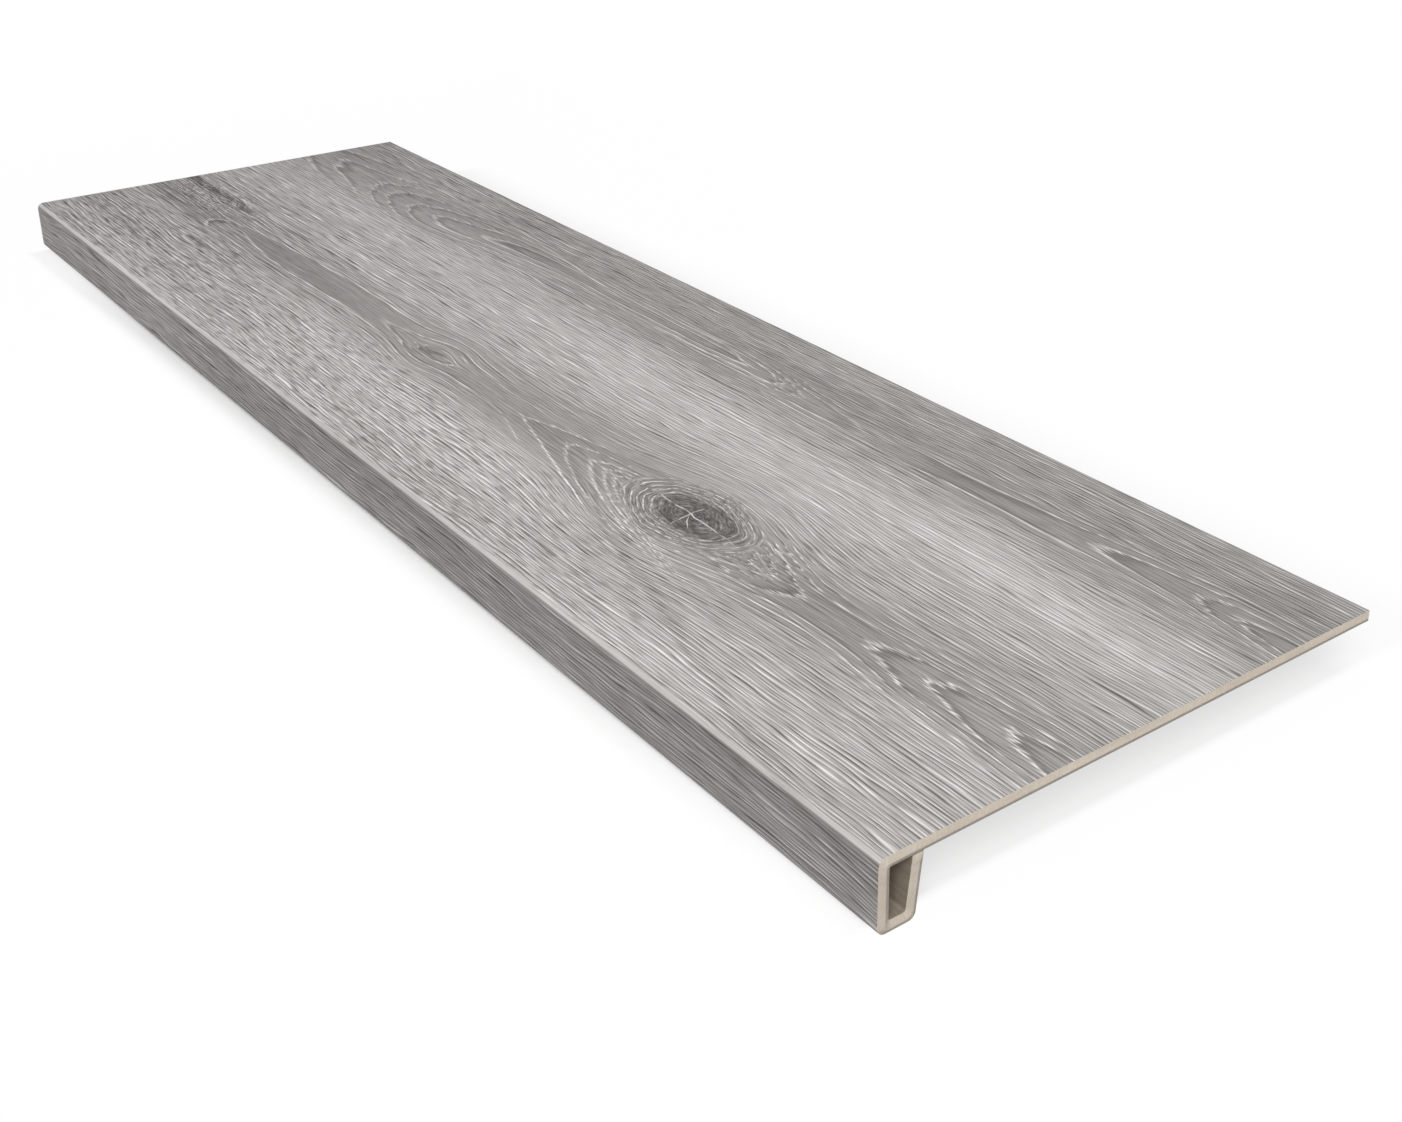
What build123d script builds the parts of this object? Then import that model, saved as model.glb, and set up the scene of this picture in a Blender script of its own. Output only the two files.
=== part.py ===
"""Stair tread cover: one decor-faced sheet folded into a hollow box nose along its front edge.

The tread lies level with the walking face up, its lowest face at Z = 0 and its middle at
X = Y = 0. X runs along the tread, the nose front faces -Y and the plain back edge faces +Y.
All sizes are in millimetres, all angles in degrees.
"""
import os
from math import atan2, cos, degrees, radians, tan

from build123d import *

# Driving dimensions of the tread
LENGTH = 1200.0
DEPTH = 350.0
NOSE_HEIGHT = 42.0
SHEET = 6.5

# Nose: depth of the box just under the sheet, and how far its return leans back
NOSE_DEPTH = 26.5
RETURN_LEAN = 7.0

# Folds: outside radii of the three bends and the small radius left inside them
WALKING_EDGE_RADIUS = 5.0
LOWER_EDGE_RADIUS = 5.0
RETURN_EDGE_RADIUS = 3.3
INNER_RADIUS = 1.2

# Glued seam between the free edge of the return and the underside of the sheet
SEAM = 0.3

# Sawn ends: both arrises are bevelled until a narrow ridge is left between them
BEVEL_DEPTH = 1.7
RIDGE = 0.5

# Heights and widths that follow from the sizes above
underside = NOSE_HEIGHT - SHEET
return_top = underside - SEAM
return_slope = tan(radians(RETURN_LEAN))
return_width = SHEET / cos(radians(RETURN_LEAN))

# A bend is never tighter than half the sheet, so the bevels can follow it
walking_edge_bend = max(WALKING_EDGE_RADIUS, SHEET / 2)
lower_edge_bend = max(LOWER_EDGE_RADIUS, SHEET / 2)
return_edge_bend = max(RETURN_EDGE_RADIUS, SHEET / 2)

# Half the length before the bevel starts, and the slope of the bevel
square_length = LENGTH / 2 - BEVEL_DEPTH
bevel_taper = degrees(atan2((SHEET - RIDGE) / 2, BEVEL_DEPTH))


def return_back(height):
    """Distance from the nose front to the back face of the return at a height."""
    return NOSE_DEPTH - (underside - height) * return_slope


def return_front(height):
    """Distance from the nose front to the cavity face of the return at a height."""
    return return_back(height) - return_width


# Corners of the folds, each as (distance from the nose front, height)
walking_edge = (0, NOSE_HEIGHT)
lower_edge = (0, 0)
return_edge = (return_back(0), 0)
cavity_top = (SHEET, underside)
cavity_front = (SHEET, SHEET)
cavity_back = (return_front(SHEET), SHEET)

# Middle cross-section of the tread, measured from the nose front and the lowest face
middle = Plane(origin=(0, -DEPTH / 2, 0), x_dir=(0, 1, 0), z_dir=(1, 0, 0))

with BuildPart() as tread:
    # Folded strip in section, drawn round its outside and back along its inside
    with BuildSketch(middle) as strip:
        with BuildLine():
            Polyline(
                (DEPTH, NOSE_HEIGHT),
                walking_edge,
                lower_edge,
                return_edge,
                (return_back(return_top), return_top),
                (return_front(return_top), return_top),
                cavity_back,
                cavity_front,
                cavity_top,
                (DEPTH, underside),
                close=True,
            )
        make_face()
        fillet(strip.vertices().sort_by_distance(walking_edge)[0], walking_edge_bend)
        fillet(strip.vertices().sort_by_distance(lower_edge)[0], lower_edge_bend)
        fillet(strip.vertices().sort_by_distance(return_edge)[0], return_edge_bend)
        for corner in (cavity_top, cavity_front, cavity_back):
            fillet(strip.vertices().sort_by_distance(corner)[0], INNER_RADIUS)
    extrude(amount=square_length)

    # Glue that joins the free edge of the return to the sheet
    with BuildSketch(middle):
        with BuildLine():
            Polyline(
                (return_front(return_top), return_top),
                (return_back(return_top), return_top),
                (return_back(underside), underside),
                (return_front(underside), underside),
                close=True,
            )
        make_face()
    extrude(amount=square_length)

    # Sawn end with both arrises bevelled, which leaves the seam open as a small notch
    with BuildSketch(middle.offset(square_length)):
        add(strip.sketch_local)
    extrude(amount=BEVEL_DEPTH, taper=bevel_taper)

    # The other half is the same, seen in a mirror
    mirror(about=Plane.YZ)

tread.part.label = "tread"

os.makedirs("parts", exist_ok=True)
export_step(tread.part, "parts/tread.step")
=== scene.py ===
from math import cos, pi, radians, tan

import bmesh
import bpy
from mathutils import Matrix, Vector


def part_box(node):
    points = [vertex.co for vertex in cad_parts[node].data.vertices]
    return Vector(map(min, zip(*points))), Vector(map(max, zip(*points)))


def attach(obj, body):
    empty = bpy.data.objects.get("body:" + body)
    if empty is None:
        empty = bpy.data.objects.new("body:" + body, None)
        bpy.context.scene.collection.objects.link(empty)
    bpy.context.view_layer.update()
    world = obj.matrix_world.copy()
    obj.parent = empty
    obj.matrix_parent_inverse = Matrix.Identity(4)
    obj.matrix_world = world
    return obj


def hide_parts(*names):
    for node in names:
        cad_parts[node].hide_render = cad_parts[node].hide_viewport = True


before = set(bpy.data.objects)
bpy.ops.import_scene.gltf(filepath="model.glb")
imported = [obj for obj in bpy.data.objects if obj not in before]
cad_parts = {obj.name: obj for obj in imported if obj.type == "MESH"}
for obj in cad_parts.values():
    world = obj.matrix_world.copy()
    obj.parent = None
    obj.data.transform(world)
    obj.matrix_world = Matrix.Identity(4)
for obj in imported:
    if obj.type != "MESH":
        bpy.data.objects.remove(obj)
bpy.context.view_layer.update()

# Folded board: one sheet of rigid vinyl board with a printed and embossed oak face.
# The face runs over the top, down the nose front, under it and up the leaning return,
# and the sheet's free edge is glued to its own underside, which leaves a fine seam.
low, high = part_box("tread")
length, depth, height = high - low
sheet = 0.0065
nose_depth = 0.0265
return_lean = radians(7)
walking_edge_bend, lower_edge_bend, return_edge_bend, inner_bend = 0.005, 0.005, 0.0033, 0.0012
seam = 0.0003
bevel_depth, ridge = 0.0017, 0.0005
bend_steps, crease = 10, radians(12)
underside = height - sheet
return_top = underside - seam
return_width = sheet / cos(return_lean)


def return_back(z):
    """Distance from the nose front to the back of the return at height z."""
    return nose_depth - (underside - z) * tan(return_lean)


square_end = length / 2 - bevel_depth
section = {
    "back_top": (depth, height),
    "walking_edge": (0, height),
    "lower_edge": (0, 0),
    "return_edge": (return_back(0), 0),
    "free_edge_back": (return_back(return_top), return_top),
    "free_edge_front": (return_back(return_top) - return_width, return_top),
    "cavity_back": (return_back(sheet) - return_width, sheet),
    "cavity_front": (sheet, sheet),
    "cavity_top": (sheet, underside),
    "back_underside": (depth, underside),
}

shape = bmesh.new()
outline = [shape.verts.new((-square_end, low.y + y, z)) for y, z in section.values()]
start = shape.faces.new(outline)
swept = bmesh.ops.extrude_face_region(shape, geom=[start], use_keep_orig=True)["geom"]
bmesh.ops.translate(
    shape,
    verts=[v for v in swept if isinstance(v, bmesh.types.BMVert)],
    vec=(2 * square_end, 0, 0),
)
bmesh.ops.recalc_face_normals(shape, faces=shape.faces)


def fold(corner, radius, turn=pi / 2):
    """Rounds the long edge that runs through a corner of the section."""
    y, z = section[corner]
    at = Vector((0, low.y + y, z))
    edges = [e for e in shape.edges if e.calc_length() > length / 2]
    middle = {e: (e.verts[0].co + e.verts[1].co) / 2 for e in edges}
    edge = min(edges, key=lambda e: (middle[e] - at).length)
    bmesh.ops.bevel(
        shape,
        geom=[edge],
        offset=radius * tan(turn / 2),
        offset_type="OFFSET",
        affect="EDGES",
        segments=bend_steps,
        profile=0.5,
        material=-1,
    )


fold("walking_edge", walking_edge_bend)
fold("lower_edge", lower_edge_bend)
fold("return_edge", return_edge_bend, pi / 2 + return_lean)
fold("cavity_back", inner_bend, pi / 2 + return_lean)
fold("cavity_front", inner_bend)
fold("cavity_top", inner_bend)
sawn_ends = [f for f in shape.faces if abs(f.normal.x) > 0.9]
bmesh.ops.inset_region(
    shape,
    faces=sawn_ends,
    thickness=(sheet - ridge) / 2,
    depth=bevel_depth,
    use_even_offset=True,
)


def unrolled(point):
    """Distance from the back edge along the decor face, as if the sheet lay flat."""
    y, z = point.y - low.y, point.z
    if (z > height / 2 and y < return_back(underside) / 2) or z > underside + sheet / 2:
        return depth - y + height - z
    if y < return_back(0) / 2:
        return depth + height - z + y
    return depth + height + return_back(0) - (return_back(z) - y) + z


decor_face, core_face, painted_shade_backing_face = 0, 1, 2
flat_sheet = shape.loops.layers.uv.new("flat_sheet")
for face in shape.faces:
    y, z = face.calc_center_median().y - low.y, face.calc_center_median().z
    on_top = z > underside + sheet / 2
    on_front = y < sheet / 2
    below = z < sheet / 2
    behind = z < return_top + seam / 4 and y > return_back(z) - return_width / 2
    at_sawn_end = abs(face.normal.x) >= 0.5
    at_back_edge = abs(face.normal.y) > 0.9 and y > depth - sheet
    if at_sawn_end or at_back_edge:
        face.material_index = core_face
    elif on_top or on_front or below or behind:
        face.material_index = decor_face
    else:
        face.material_index = painted_shade_backing_face
    face.smooth = True
    for loop in face.loops:
        at = loop.vert.co
        loop[flat_sheet].uv = (at.x / length + 0.5, unrolled(at) / length)
for edge in shape.edges:
    edge.smooth = edge.calc_face_angle(0) < crease
board_mesh = bpy.data.meshes.new("folded_board")
shape.to_mesh(board_mesh)
shape.free()
board = bpy.data.objects.new("folded_board", board_mesh)
bpy.context.scene.collection.objects.link(board)
even = board.modifiers.new("even_faces", "WEIGHTED_NORMAL")
even.keep_sharp = True
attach(board, "root")
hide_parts("tread")

# Decor face: a grey oak print under a clear matt wear layer, pressed with the grain and limed white.
# One print covers the whole sheet before it is folded, so it is laid out in millimetres on the
# flat sheet: along the tread from its middle, and across it from 175 at the back edge to the nose.
print_length, back_edge = 1200.0, 175.0
decor = bpy.data.materials.new("limed_oak_decor")
board_mesh.materials.append(decor)
decor.use_nodes = True
nodes, links = decor.node_tree.nodes, decor.node_tree.links


class Field:
    """A number that varies over the sheet, worked out by nodes."""

    def __init__(self, socket):
        self.socket = socket

    def __add__(self, other):
        return calc("ADD", self, other)

    def __sub__(self, other):
        return calc("SUBTRACT", self, other)

    def __rsub__(self, other):
        return calc("SUBTRACT", other, self)

    def __mul__(self, other):
        return calc("MULTIPLY", self, other)

    def __truediv__(self, other):
        return calc("DIVIDE", self, other)

    def __pow__(self, other):
        if other == 2.0:
            return self * self
        if other == 4.0:
            return (self * self) ** 2.0
        return calc("POWER", self, other)

    def __neg__(self):
        return calc("MULTIPLY", self, -1.0)

    __radd__, __rmul__ = __add__, __mul__


def feed(socket, value):
    """Gives a node's socket a field or a plain number."""
    if isinstance(value, Field):
        links.new(value.socket, socket)
    else:
        socket.default_value = value


def calc(operation, *values):
    """One step of arithmetic on fields and numbers."""
    node = nodes.new("ShaderNodeMath")
    node.operation = operation
    for socket, value in zip(node.inputs, values):
        feed(socket, value)
    return Field(node.outputs[0])


def rise(value, start, stop):
    """Goes smoothly from 0 to 1 while a field goes from start to stop."""
    node = nodes.new("ShaderNodeMapRange")
    node.interpolation_type = "SMOOTHSTEP"
    feed(node.inputs["Value"], value)
    feed(node.inputs["From Min"], start)
    feed(node.inputs["From Max"], stop)
    return Field(node.outputs["Result"])


def fall(value, start, stop):
    """Goes smoothly from 1 to 0 while a field goes from start to stop."""
    return rise(value, stop, start)


def bell(value, centre, wide):
    """1 where a field meets a centre, falling off to nothing over a width on both sides."""
    off = calc("MULTIPLY_ADD", value, 1.0 / wide, -centre / wide)
    return calc("EXPONENT", -(off ** 2.0))


def streaks(x, y, long, wide, detail=2.0, rough=0.5, seed=0.0):
    """Uneven streaks about zero, so long along the grain and so wide across it."""
    place = nodes.new("ShaderNodeCombineXYZ")
    feed(place.inputs["X"], calc("MULTIPLY_ADD", x, 1.0 / long, seed * 13.7))
    feed(place.inputs["Y"], calc("MULTIPLY_ADD", y, 1.0 / wide, seed * 5.3))
    node = nodes.new("ShaderNodeTexNoise")
    node.noise_dimensions = "2D"
    links.new(place.outputs[0], node.inputs["Vector"])
    node.inputs["Scale"].default_value = 1.0
    node.inputs["Detail"].default_value = detail
    node.inputs["Roughness"].default_value = rough
    return calc("MULTIPLY_ADD", Field(node.outputs["Fac"]), 4.0, -2.0)


def graph(value, points, top):
    """A curve through points of a field that runs from -600 to 600 and values from 0 to top."""
    node = nodes.new("ShaderNodeFloatCurve")
    feed(node.inputs["Value"], calc("MULTIPLY_ADD", value, 1.0 / print_length, 0.5))
    curve = node.mapping.curves[0]
    places = [(x / print_length + 0.5, y / top) for x, y in points]
    for x, y in places[1:-1]:
        curve.points.new(x, y)
    curve.points[0].location = places[0]
    curve.points[-1].location = places[-1]
    node.mapping.update()
    return Field(node.outputs[0]) * top


def oval(x, y, centre, reach):
    """1 at a centre, falling off to nothing over an oval reach."""
    u = calc("MULTIPLY_ADD", x, 1.0 / reach[0], -centre[0] / reach[0])
    v = calc("MULTIPLY_ADD", y, 1.0 / reach[1], -centre[1] / reach[1])
    return calc("EXPONENT", -calc("MULTIPLY_ADD", u, u, v * v))


flat_map = nodes.new("ShaderNodeUVMap")
flat_map.uv_map = "flat_sheet"
split = nodes.new("ShaderNodeSeparateXYZ")
links.new(flat_map.outputs[0], split.inputs[0])
along = Field(split.outputs["X"]) * print_length - print_length / 2
across = back_edge - Field(split.outputs["Y"]) * print_length

# The grain wanders a little, more on the nose front, and parts round the knots.
knot_x, knot_y = 277.0, -54.0
small_x, small_y = -48.0, -57.0
far_x, far_y = -415.0, -98.0
wander = streaks(along, across, 420, 150, 0, seed=1) * 1.8
wander = wander + streaks(along, across, 110, 30, 0, seed=2) * 0.8
wander = wander + streaks(along, across, 36, 9, 0, seed=18) * 0.3
nose_front = fall(across, -177.6, -176.8)
wander = wander + nose_front * streaks(along, across, 240, 60, 0, seed=5) * 2.6
wander = wander + nose_front * along * 0.012
level = across + wander
big_knot = oval(along, across, (knot_x, knot_y), (72, 50))
level = level - (across - knot_y) * big_knot * 0.95
small_knot = oval(along, across, (small_x, small_y), (34, 26))
level = level - (across - small_y) * small_knot * 0.6
far_knot = oval(along, across, (far_x, far_y), (26, 16))
level = level - (across - far_y) * far_knot * 0.3

# Year rings: tongues and vees along two axes, one below the knots and one near the back.
ragged = streaks(along, level, 60, 1.3, 1, seed=3)
cut_x = along + ragged * 7.0
front_axis = -56.5 - 0.014 * along
front_age = graph(
    cut_x,
    [(-600, 13.5), (-455, 13), (-400, 12), (-380, 11.85), (-350, 11.65), (-300, 11.45), (-200, 11.3),
     (-120, 11), (-60, 10.6), (0, 10.4), (88, 10), (130, 9.7), (250, 9.5), (410, 9.35), (455, 9),
     (505, 8), (565, 7), (600, 6.4)],
    16.0,
)
front_off = (level - front_axis) / 3.3
front_rings = calc("SQRT", front_age * front_age + front_off * front_off)
front_rings = front_rings - oval(cut_x, across, (knot_x, knot_y), (70, 28)) * 8.0
front_rings = front_rings - oval(cut_x, across, (small_x, small_y), (25, 8)) * 1.2
back_axis = graph(
    along,
    [(-600, 104), (-437, 100), (-345, 97), (-200, 112), (0, 113), (103, 113), (175, 107), (265, 103),
     (400, 107), (530, 113), (600, 108)],
    200.0,
)
back_age = graph(
    cut_x,
    [(-600, 7.5), (-560, 7), (-470, 6), (-437, 5), (-390, 4), (-345, 3), (-265, 2), (-180, 1.4),
     (0, 1.5), (103, 2), (150, 3), (175, 4), (265, 5), (350, 5.6), (430, 5.3), (450, 5), (530, 4),
     (560, 3), (600, 2.4)],
    16.0,
)
far_back = fall(along, -330.0, -120.0)
back_off = (level - back_axis) / (3.8 + far_back * 3.4)
back_rings = calc("SQRT", back_age * back_age + back_off * back_off)
rings = calc("MINIMUM", front_rings, back_rings + 20.0)
front_zone = calc("EXPONENT", -(((level - front_axis) / 34.0) ** 4.0)) * rise(along, -190.0, -70.0)
back_zone = calc("EXPONENT", -(((level - back_axis) / (20.0 + far_back * 16.0)) ** 4.0))
back_zone = back_zone * (1.0 - oval(along, across, (258, 106), (42, 30)) * 0.85)
vee_zone = calc("MAXIMUM", front_zone, back_zone)
soft_zone = bell(across, 42.0, 34.0)

# A long tongue comes in from the far end, smooth inside and drawn round by one white line.
tongue_axis = -53.2
tongue_reach = graph(
    along,
    [(-600, 0), (-440, 0), (-415, 4), (-400, 5.6), (-380, 8), (-350, 11), (-300, 13.4), (-200, 15),
     (-120, 15.5), (0, 14), (600, 14)],
    40.0,
)
from_tongue = calc("ABSOLUTE", level - tongue_axis) - tongue_reach
tongue_part = rise(along, -445.0, -395.0) * fall(along, -150.0, -60.0)
tongue = rise(-from_tongue, 0.2, 3.0) * tongue_part
tongue_line = bell(from_tongue, 0.0, 0.8) * tongue_part

# Limed ring lines in the vees, combed into short strokes, with a dark side.
rings = rings + streaks(along, level, 240, 14, 1, seed=19) * 0.16
from_line = calc("PINGPONG", rings, 0.5)
comb = streaks(along, level, 26, 0.95, 1, seed=4)
front_arm = front_zone * (front_off / front_rings) ** 2.0
back_arm = back_zone * (back_off / back_rings) ** 2.0
arm = calc("MAXIMUM", front_arm, back_arm)
line = fall(from_line + comb * 0.04, 0.0, 0.08 + arm * 0.16)
line = line * rise(comb, -1.1, -0.1) * vee_zone * (0.7 + rise(along, -350.0, 150.0) * 0.3)
knot_side = rise(along, 0.0, 50.0) * fall(along, 225.0, 262.0) * front_zone
line = line * (1.0 - knot_side)
inside = calc("FRACT", rings)
shade_line = rise(inside, 0.6, 0.86) * fall(inside, 0.88, 0.98) * vee_zone * (1.0 - knot_side)

# Vees that open towards the big knot: one sharp, the rest blunt and closer and closer.
vee_axis = -61.0
above = calc("MAXIMUM", across - vee_axis, 0.0)
below = calc("MAXIMUM", vee_axis - across, 0.0)
stitch = streaks(along, across, 40, 1.2, 1, seed=44)
stitched_x = along + stitch * 4.0
sharp_tip = stitched_x - above * (3.2 + above * 0.08) - below * 3.75
blunt_tip = stitched_x - above * (0.4 + above * 0.22) - below * (1.0 + below * 0.05)
vee_age = graph(
    blunt_tip,
    [(-600, 0), (100, 1), (147, 2), (178, 3), (194, 4), (206, 5), (216, 6), (226, 7), (600, 9)],
    16.0,
)
blunt_line = fall(calc("PINGPONG", vee_age, 0.5), 0.0, 0.07 + rise(blunt_tip, 140.0, 215.0) * 0.2)
blunt_line = blunt_line * rise(blunt_tip, 136.0, 142.0)
blunt_line = blunt_line * fall(above, 12.0, 24.0) * fall(below, 34.0, 48.0)
sharp_line = bell(sharp_tip, 88.0, 2.6)
sharp_line = sharp_line * fall(above, 13.0, 20.0) * fall(below, 30.0, 42.0)
knot_left = fall(blunt_tip, 212.0, 228.0)
knot_vees = calc("MAXIMUM", blunt_line * knot_left, sharp_line) * rise(stitch, -1.4, 0.1)
vee_shade = fall(calc("FRACT", vee_age), 0.05, 0.7) * rise(blunt_tip, 142.0, 149.0)
vee_shade = vee_shade * fall(below, 20.0, 42.0) * knot_left * fall(above, 8.0, 20.0)
vee_shade = vee_shade + rise(sharp_tip, 88.0, 92.0) * fall(sharp_tip, 95.0, 150.0)


# Grain lines: light and dark strokes side by side along the grain, wavy and short.
def grain_lines(pitch, light, dark, least, seed):
    """Light and dark strokes at a pitch in millimetres."""
    phase = level / pitch + streaks(along, level, 240, 10, 0, seed=seed) * 0.45
    phase = phase + streaks(along, level, 40, 2.6, 0, seed=seed + 1) * 0.16
    here = rise(streaks(along, level, 30, pitch * 0.7, 0, seed=seed + 2), -0.7, 0.4)
    there = rise(streaks(along, level, 22, pitch * 0.7, 0, seed=seed + 3), -0.6, 0.5)
    white = fall(calc("PINGPONG", phase, 0.5), 0.04, 0.2)
    black = fall(calc("PINGPONG", phase + 0.36, 0.5), 0.03, 0.17)
    white = white * (least + here * (1.0 - least)) * light
    return white - black * (least + there * (1.0 - least)) * dark


plain = 1.0 - vee_zone * 0.62
crisp = 1.7 - rise(along, -600.0, 350.0) * 0.5
near_part = rise(along, -480.0, 40.0)
# Painted highlight along the walking edge, weaker towards the near end and a little less rough.
painted_highlight_end = -175.6 + (1.0 - near_part) * 2.0
painted_edge_highlight = rise(across, -177.2, -176.2) * fall(across, painted_highlight_end, -170.6)
painted_edge_highlight = painted_edge_highlight * (1.0 - near_part * 0.55)
# Painted shade in a narrow band on the nose front, just under the walking edge.
painted_shade_under_edge = rise(across, -187.0, -177.6) * fall(across, -176.9, -175.9)
smooth_edge = 1.0 - rise(across, -179.0, -177.0) * fall(across, -174.4, -171.4) * 0.85
pressed = grain_lines(2.5, 0.18, 0.24, 0.3, 20)
coarse = grain_lines(4.4, 0.09, 0.17, 0.2, 24)
grain = pressed * (0.7 + near_part * 0.3) + coarse * (0.8 - near_part * 0.55)
grain = grain * plain * crisp * (1.0 - tongue * 0.65) * (1.0 - soft_zone * 0.15) * smooth_edge

# Fibres, open pores and soft clouds, all along the grain.
long_fibre = streaks(along, level, 120, 1.9, 1, 0.6, seed=6)
fine_fibre = streaks(along, level, 30, 0.8, 1, 0.6, seed=7)
short_zone = fall(across + streaks(along, across, 160, 40, 0, seed=17) * 18.0, -112.0, -80.0)
short_zone = short_zone * (1.0 - rise(along, 240.0, 420.0) * 0.8) * (1.0 - nose_front)
dash = rise(streaks(along, level, 15, 1.4, 0, seed=8), 0.05, 0.75)
cloud = streaks(along, level, 260, 26, 0, seed=10)

# Printed grey, as it looks on the finished sheet: bands across it and darker places of its own,
# with painted shade on the nose front.
tone = graph(
    across,
    [(-600, 0.68), (-240, 0.69), (-215, 0.685), (-182, 0.67), (-163, 0.685), (-137, 0.675),
     (-112, 0.67), (-88, 0.64), (-62, 0.565), (-37, 0.59), (-12, 0.65), (12, 0.68), (37, 0.69),
     (62, 0.67), (87, 0.59), (112, 0.555), (137, 0.545), (162, 0.575), (600, 0.62)],
    1.0,
)
# Painted shade: the nose front is darker than the top, more so towards the near end. The whole face is
# also darker towards the far end.
painted_shade_on_front = fall(across, -177.6, -175.6) * (0.025 + rise(along, -350.0, -50.0) * 0.07)
tone = tone - 0.018 - painted_shade_on_front - fall(along, -600.0, -120.0) * 0.055
eye = rise(2.0 - back_rings, 0.0, 0.2)
smoky = streaks(along, across, 22, 6, 2, seed=30)
burnt_x, burnt_y = along + smoky * 8.0, across + smoky * 1.6
burnt = fall(burnt_x, -500.0, -420.0) * bell(burnt_y, -31.0, 6.5)
burnt_edge = fall(burnt_x, -490.0, -450.0) * bell(burnt_y, -21.5, 1.3)
curl_r = calc("SQRT", ((along + 436.0) / 20.0) ** 2.0 + ((across + 67.0) / 10.0) ** 2.0) + smoky * 0.1
curl = bell(curl_r, 1.0, 0.12) * 0.18 - bell(curl_r, 0.74, 0.14) * 0.16
curl = curl * fall(along, -447.0, -434.0)
bud_r = calc("SQRT", ((along + 419.0) / 12.0) ** 2.0 + ((across + 98.0) / 5.5) ** 2.0) + smoky * 0.1
bud = bell(bud_r, 0.95, 0.2) * 0.05
filigree = calc("PINGPONG", smoky * 1.4, 0.5)
filigree = fall(filigree, 0.04, 0.18) * 0.22 - rise(filigree, 0.3, 0.46) * 0.2
filigree = filigree * oval(along, across, (-525, -40), (85, 24))
tone = tone + filigree - tongue * 0.045 - eye * 0.03
tone = tone - burnt * (0.15 + smoky * 0.18) + burnt_edge * 0.16 + curl + bud
smoky_x, smoky_y = along + smoky * 6.0, across + smoky * 1.5
for place, reach, depth_of_grey in (
    ((-520, -50), (90, 26), 0.035),
    ((-597, -29), (11, 4.5), 0.18),
    ((-548, -31), (17, 4.5), 0.18),
    ((-500, -29), (13, 3.5), 0.15),
    ((-462, -31), (11, 2.8), 0.15),
    ((40, -112), (180, 34), -0.05),
    ((390, 45), (150, 30), -0.035),
    ((-478, -73), (14, 3.0), 0.09),
    ((-417, -99), (6, 3.0), 0.16),
    ((-349, -85), (5, 3.0), 0.14),
    ((-356, -82), (4, 2.5), -0.10),
    ((-455, -133.5), (20, 2.2), 0.19),
    ((-452, -138.5), (16, 1.4), -0.12),
    ((-560, -132), (110, 8), 0.05),
    ((-450, 125), (120, 40), -0.07),
    ((-280, 150), (32, 5), 0.13),
    ((-362, 149), (8, 2.5), 0.10),
    ((-55, -58), (13, 3.0), 0.15),
    ((282, -101), (6, 2.6), 0.16),
    ((279, -92), (7, 7), 0.06),
):
    tone = calc("MULTIPLY_ADD", oval(smoky_x, smoky_y, place, reach), -depth_of_grey, tone)
fibre = long_fibre * 0.025 + fine_fibre * 0.035 - dash * (0.02 + short_zone * 0.11)
value = tone + cloud * 0.02 + fibre * (1.0 - tongue * 0.4) * smooth_edge + grain
value = value + line * 0.32 + tongue_line * 0.2 * rise(comb, -1.3, 0.2) - shade_line * 0.12
value = value + knot_vees * 0.26 - vee_shade * 0.05 + 0.02
# Painted highlight along the walking edge, and painted shade just under it.
value = value + painted_edge_highlight * 0.17 - painted_shade_under_edge * 0.04

# Single limed lines that run out of the knots and along the vees.
lift = 200.0
ragged_y = across + ragged * 0.35 + lift
broken_up = rise(comb, -1.2, 0.3)


def limed_line(points, wide):
    """A thin white line through points, broken in places and fading out at both ends."""
    first, last = points[0][0], points[-1][0]
    through = [(-600, points[0][1]), *points, (600, points[-1][1])]
    course = graph(along, [(x, y + lift) for x, y in through], 2 * lift)
    ends = rise(cut_x, first, first + 12.0) * fall(cut_x, last - 12.0, last)
    return bell(ragged_y - course, 0.0, wide) * ends


single_lines = [limed_line(points, wide) for points, wide in (
    ([(330, -37), (355, -42), (370, -48), (400, -51), (440, -51.5), (480, -49), (530, -47)], 0.7),
    ([(318, -88), (345, -81), (370, -78.5), (400, -78.5), (450, -82), (500, -88), (590, -93)], 0.6),
    ([(328, -47), (345, -52), (360, -57), (378, -60.5)], 0.8),
    ([(322, -76), (342, -70), (358, -65), (378, -60.5)], 0.8),
    ([(338, -59), (350, -60.5), (372, -62.5)], 0.8),
    ([(-275, 137), (-200, 130), (-120, 121), (-50, 114)], 0.8),
    ([(-118, -56), (-90, -51), (-70, -47), (-50, -43)], 0.7),
    ([(-118, -56), (-85, -61), (-62, -65)], 0.7),
    ([(-45, -44), (0, -45.5), (50, -47.5), (100, -46)], 0.6),
    ([(0, -68), (46, -66.6), (80, -71.4), (100, -76.6), (128, -84)], 0.6),
    ([(-55, -59), (-30, -55), (-12, -55)], 0.9),
    ([(0, 121), (60, 123), (85, 119), (106, 112.5)], 0.8),
    ([(0, 101), (60, 102), (82, 105), (106, 112)], 0.8),
    ([(108, 121), (130, 117), (152, 110)], 0.8),
    ([(108, 100), (135, 102.5), (152, 109)], 0.8),
)]
single = sum(single_lines[1:], single_lines[0])
value = value + single * broken_up * 0.17

# The big knot: fine rings round a dark heart with white checks.
turned = streaks(along, across, 34, 22, 1, seed=11)
speckle = streaks(along, across, 4.5, 2.6, 2, seed=31)


def knot_distance(centre, long, wide):
    """1 on a slightly pointed oval about a centre, 0 at the centre."""
    u = calc("ABSOLUTE", (along - centre[0]) / long)
    v = calc("ABSOLUTE", (across - centre[1]) / wide)
    return (u ** 1.75 + v ** 1.75) ** (1.0 / 1.75)


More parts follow.
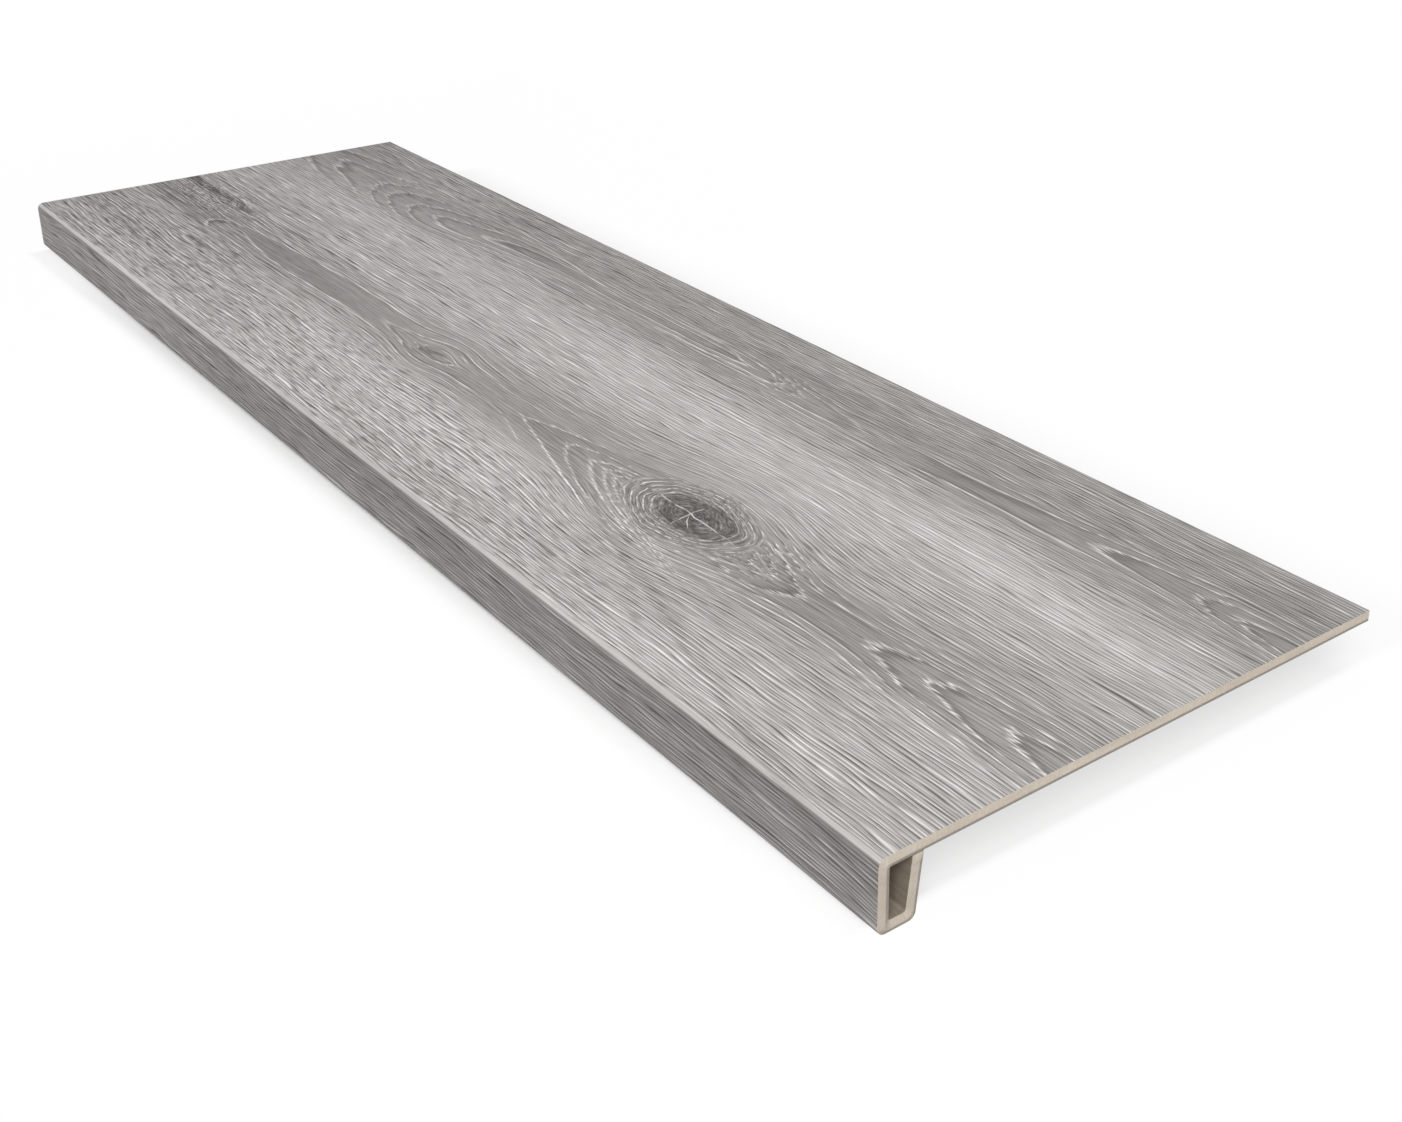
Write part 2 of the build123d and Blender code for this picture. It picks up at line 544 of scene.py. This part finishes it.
def check(start, stop, wide, wobble):
    """A thin white check between two places, widest in the middle and broken in places."""
    run = Vector(stop) - Vector(start)
    way, side = run.normalized(), Vector((-run.y, run.x)).normalized()
    far = (along - start[0]) * way.x + (across - start[1]) * way.y
    off = (along - start[0]) * side.x + (across - start[1]) * side.y
    off = calc("ABSOLUTE", off + streaks(far, far, 17, 900, 1, seed=wobble) * 1.3)
    taper = rise(far, -2.0, run.length * 0.5) * fall(far, run.length * 0.6, run.length)
    broken = rise(streaks(far, far, 8, 900, 0, seed=wobble + 1) + taper, -0.6, 0.8)
    return fall(off / (0.3 + taper * 0.7), wide * 0.3, wide) * rise(taper, 0.0, 0.12) * broken


knot_r = knot_distance((knot_x, knot_y), 64.0, 34.0) + turned * 0.05
heart_r = knot_distance((knot_x + 7.0, knot_y + 1.0), 37.0, 18.0) + turned * 0.1 + speckle * 0.05
knot_turn = calc("ARCTAN2", across - knot_y, along - knot_x)
dots = streaks(knot_turn * 20.0, knot_r * 34.0, 2.0, 1.6, 1, seed=12)
from_ring = calc("PINGPONG", knot_r * 9.5, 0.5) + dots * 0.09
knot_line = fall(from_ring, 0.03, 0.22) * rise(dots, -0.7, 0.5)
knot_mask = fall(knot_r, 0.86, 1.06)
heart = fall(heart_r, 0.75, 1.12)
heart_rim = heart * rise(heart_r, 0.45, 0.9)
knot_fibre = streaks(knot_turn * 20.0, knot_r * 34.0, 5.0, 1.0, 2, seed=13)
mottle = streaks(along, across, 13, 8, 2, seed=32)
knot_value = 0.535 - (1.0 - knot_r) * 0.12 + knot_fibre * 0.17 + knot_line * 0.38 * (1.0 - heart * 0.8)
knot_value = knot_value - heart * (0.07 - speckle * 0.08 - mottle * 0.07) - heart_rim * 0.10
knot_value = knot_value - oval(along, across, (knot_x + 3.0, knot_y), (12, 9)) * 0.09
checks = check((214, -52), (334, -55), 0.9, 33) + check((275, -37), (281, -73), 0.9, 35)
checks = checks + check((279, -56), (292, -65), 0.7, 37)
knot_value = knot_value + (0.78 - knot_value) * calc("MINIMUM", checks, 1.0)
value = value + (knot_value - value) * knot_mask

# Greys of the print at six steps of lightness, a little warm in the dark.
print_greys = nodes.new("ShaderNodeValToRGB")
greys = print_greys.color_ramp.elements
greys[0].position, greys[0].color = 0.2, (0.037, 0.0325, 0.029, 1)
greys[1].position, greys[1].color = 0.95, (0.905, 0.885, 0.872, 1)
for place, shade in (
    (0.35, (0.109, 0.099, 0.092)),
    (0.5, (0.227, 0.211, 0.201)),
    (0.65, (0.397, 0.376, 0.365)),
    (0.8, (0.622, 0.601, 0.589)),
):
    greys.new(place).color = (*shade, 1)
links.new(value.socket, print_greys.inputs["Fac"])

# The pressed relief is fine pores that run straight along the tread, under the print.
relief = streaks(along, across, 34, 1.1, 0, seed=46) * smooth_edge * 0.5
bump = nodes.new("ShaderNodeBump")
bump.inputs["Strength"].default_value = 0.7
bump.inputs["Distance"].default_value = 0.0003
links.new(relief.socket, bump.inputs["Height"])

finish = nodes["Principled BSDF"]
links.new(print_greys.outputs["Color"], finish.inputs["Base Color"])
links.new((0.54 + fine_fibre * 0.05 + dash * 0.08 - painted_edge_highlight * 0.1).socket, finish.inputs["Roughness"])
finish.inputs["Specular IOR Level"].default_value = 0.35
links.new(bump.outputs["Normal"], finish.inputs["Normal"])

# Core: the beige body of the board, mineral-filled rigid vinyl, bare where it is sawn.
# The saw leaves fine marks across the ends, and the filler shows as faint specks.


def bare_board(name, dark, light):
    """The board's own stuff, between a dark and a light shade."""
    global nodes, links
    stuff = bpy.data.materials.new(name)
    board_mesh.materials.append(stuff)
    stuff.use_nodes = True
    nodes, links = stuff.node_tree.nodes, stuff.node_tree.links
    place_on_board = nodes.new("ShaderNodeTexCoord")
    axes = nodes.new("ShaderNodeSeparateXYZ")
    links.new(place_on_board.outputs["Object"], axes.inputs[0])
    core_x, core_y, core_z = (Field(axes.outputs[axis]) * 1000.0 for axis in "XYZ")
    saw = streaks(core_z + core_y * 0.4, core_y - core_z * 0.4, 9, 0.7, 2, seed=41)
    filler = streaks(core_y + core_x * 0.7, core_z + core_x * 0.7, 0.8, 0.8, 2, seed=42)
    patch = streaks(core_x + core_y, core_z * 3.0, 40, 14, 2, seed=43)
    shades = nodes.new("ShaderNodeValToRGB")
    shades.color_ramp.elements[0].color = (*dark, 1)
    shades.color_ramp.elements[1].color = (*light, 1)
    links.new((0.56 + saw * 0.12 + filler * 0.13 + patch * 0.12).socket, shades.inputs["Fac"])
    marks = nodes.new("ShaderNodeBump")
    marks.inputs["Strength"].default_value = 0.5
    marks.inputs["Distance"].default_value = 0.00015
    links.new((saw * 0.6 + filler * 0.4).socket, marks.inputs["Height"])
    surface = nodes["Principled BSDF"]
    links.new(shades.outputs["Color"], surface.inputs["Base Color"])
    links.new((0.66 + saw * 0.05).socket, surface.inputs["Roughness"])
    links.new(marks.outputs["Normal"], surface.inputs["Normal"])
    surface.inputs["Specular IOR Level"].default_value = 0.3


bare_board("beige_core", (0.42, 0.36, 0.285), (0.68, 0.61, 0.525))

# Backing: the brown-grey underside of the same sheet, which also lines the nose. Its darkness is
# partly painted shade, so that the inside of the nose looks deep in shade. It is pressed plain,
# is never seen once the tread is glued down, and takes the glue.
bare_board("backing_with_painted_shade", (0.19, 0.16, 0.122), (0.32, 0.275, 0.22))

# Floor: a wide sheet of white paper laid flat under the tread, which takes its soft shadow.
# Where the eye or a gloss meets it away from the tread it glows white. Close to the tread and
# under it the glow gives way, so that the real shadow shows, but under the tread's ends part of
# the glow stays as painted light and lightens that shadow.
paper_reach = 30
floor_mesh = bpy.data.meshes.new("floor")
ground = bmesh.new()
bmesh.ops.create_grid(ground, x_segments=1, y_segments=1, size=paper_reach)
ground.to_mesh(floor_mesh)
ground.free()
floor = bpy.data.objects.new("floor", floor_mesh)
bpy.context.scene.collection.objects.link(floor)
paper = bpy.data.materials.new("white_paper")
paper.use_nodes = True
floor_mesh.materials.append(paper)


def seen_directly(tree):
    """1 for what the eye, a gloss or clear stuff looks at, and 0 for light on its way."""
    path = tree.nodes.new("ShaderNodeLightPath")
    either = path.outputs["Is Camera Ray"]
    for name in ("Is Glossy Ray", "Is Transmission Ray"):
        most = tree.nodes.new("ShaderNodeMath")
        most.operation = "MAXIMUM"
        tree.links.new(either, most.inputs[0])
        tree.links.new(path.outputs[name], most.inputs[1])
        either = most.outputs[0]
    return either


tree = paper.node_tree
diffuse = tree.nodes["Principled BSDF"]
tint = tree.nodes.new("ShaderNodeMapRange")
tint.inputs["To Min"].default_value = 0.3
tint.inputs["To Max"].default_value = 0.97
tree.links.new(seen_directly(tree), tint.inputs["Value"])
tree.links.new(tint.outputs["Result"], diffuse.inputs["Base Color"])
diffuse.inputs["Roughness"].default_value = 0.9
diffuse.inputs["Specular IOR Level"].default_value = 0.0
glow = tree.nodes.new("ShaderNodeEmission")
nodes, links = tree.nodes, tree.links
spot = nodes.new("ShaderNodeTexCoord")
axes = nodes.new("ShaderNodeSeparateXYZ")
links.new(spot.outputs["Object"], axes.inputs[0])
beside_x = calc("ABSOLUTE", Field(axes.outputs["X"])) - length / 2
beside_y = calc("ABSOLUTE", Field(axes.outputs["Y"])) - depth / 2
behind_tread = rise(Field(axes.outputs["Y"]), -0.1, 0.1)
clear_beyond = rise(beside_x, -0.024, -0.006)
clear_beside = rise(beside_y, 0.003, 0.021 + behind_tread * 0.09)
clear = calc("MAXIMUM", clear_beyond, clear_beside)
# Painted light: under the tread's ends part of the glow stays and lightens the shadow there.
painted_light_under_ends = rise(beside_x, -0.35, -0.035)
open_floor = rise(calc("MAXIMUM", beside_x, beside_y), 0.05, 0.7)
share = calc("MAXIMUM", clear * 0.97, painted_light_under_ends * 0.65) + open_floor * 0.03
share = share * Field(seen_directly(tree))
mixed = tree.nodes.new("ShaderNodeMixShader")
tree.links.new(share.socket, mixed.inputs[0])
tree.links.new(diffuse.outputs[0], mixed.inputs[1])
tree.links.new(glow.outputs[0], mixed.inputs[2])
tree.links.new(mixed.outputs[0], tree.nodes["Material Output"].inputs["Surface"])

# Studio light: a dim even room, a weak soft box straight overhead and a large strong one to the
# right and front. The room looks white to the eye or a gloss, but gives only a little light.
room = bpy.data.worlds.new("studio_room")
bpy.context.scene.world = room
room.use_nodes = True
room_tree = room.node_tree
air = room_tree.nodes["Background"]
air.inputs["Color"].default_value = (1, 1, 1, 1)
level_of_room = room_tree.nodes.new("ShaderNodeMapRange")
level_of_room.inputs["To Min"].default_value = 0.22
level_of_room.inputs["To Max"].default_value = 1.0
room_tree.links.new(seen_directly(room_tree), level_of_room.inputs["Value"])
room_tree.links.new(level_of_room.outputs["Result"], air.inputs["Strength"])


def soft_box(name, at, towards, width, power):
    """A square area lamp that looks at a point."""
    lamp = bpy.data.lights.new(name, "AREA")
    lamp.size = width
    lamp.energy = power
    holder = bpy.data.objects.new(name, lamp)
    holder.location = at
    holder.rotation_euler = (Vector(towards) - Vector(at)).to_track_quat("-Z", "Y").to_euler()
    bpy.context.scene.collection.objects.link(holder)


soft_box("overhead_box", (0.0, 0.0, 2.1), (0, 0, 0), 1.2, 10.5)
soft_box("side_box", (2.85, -2.07, 2.94), (0, 0, 0), 2.4, 168)

# Camera: stands off the near right end, in front of the tread and above it, and looks along it.
# A normal lens, shifted so that the tread sits in the frame as in the photograph.
view = bpy.data.cameras.new("photo_camera")
view.sensor_width = 36
view.lens = 46.38
view.shift_x, view.shift_y = -0.0856, -0.1427
camera = bpy.data.objects.new("photo_camera", view)
standpoint = Vector((1.0859, -0.59578, 0.54157))
right = Vector((0.619962, 0.784611, 0.005681))
up = Vector((-0.301791, 0.231764, 0.924774))
back = right.cross(up)
turn = Matrix((right, up, back)).transposed().to_4x4()
camera.matrix_world = Matrix.Translation(standpoint) @ turn
bpy.context.scene.collection.objects.link(camera)
bpy.context.scene.camera = camera
bpy.context.scene.view_settings.view_transform = "Standard"
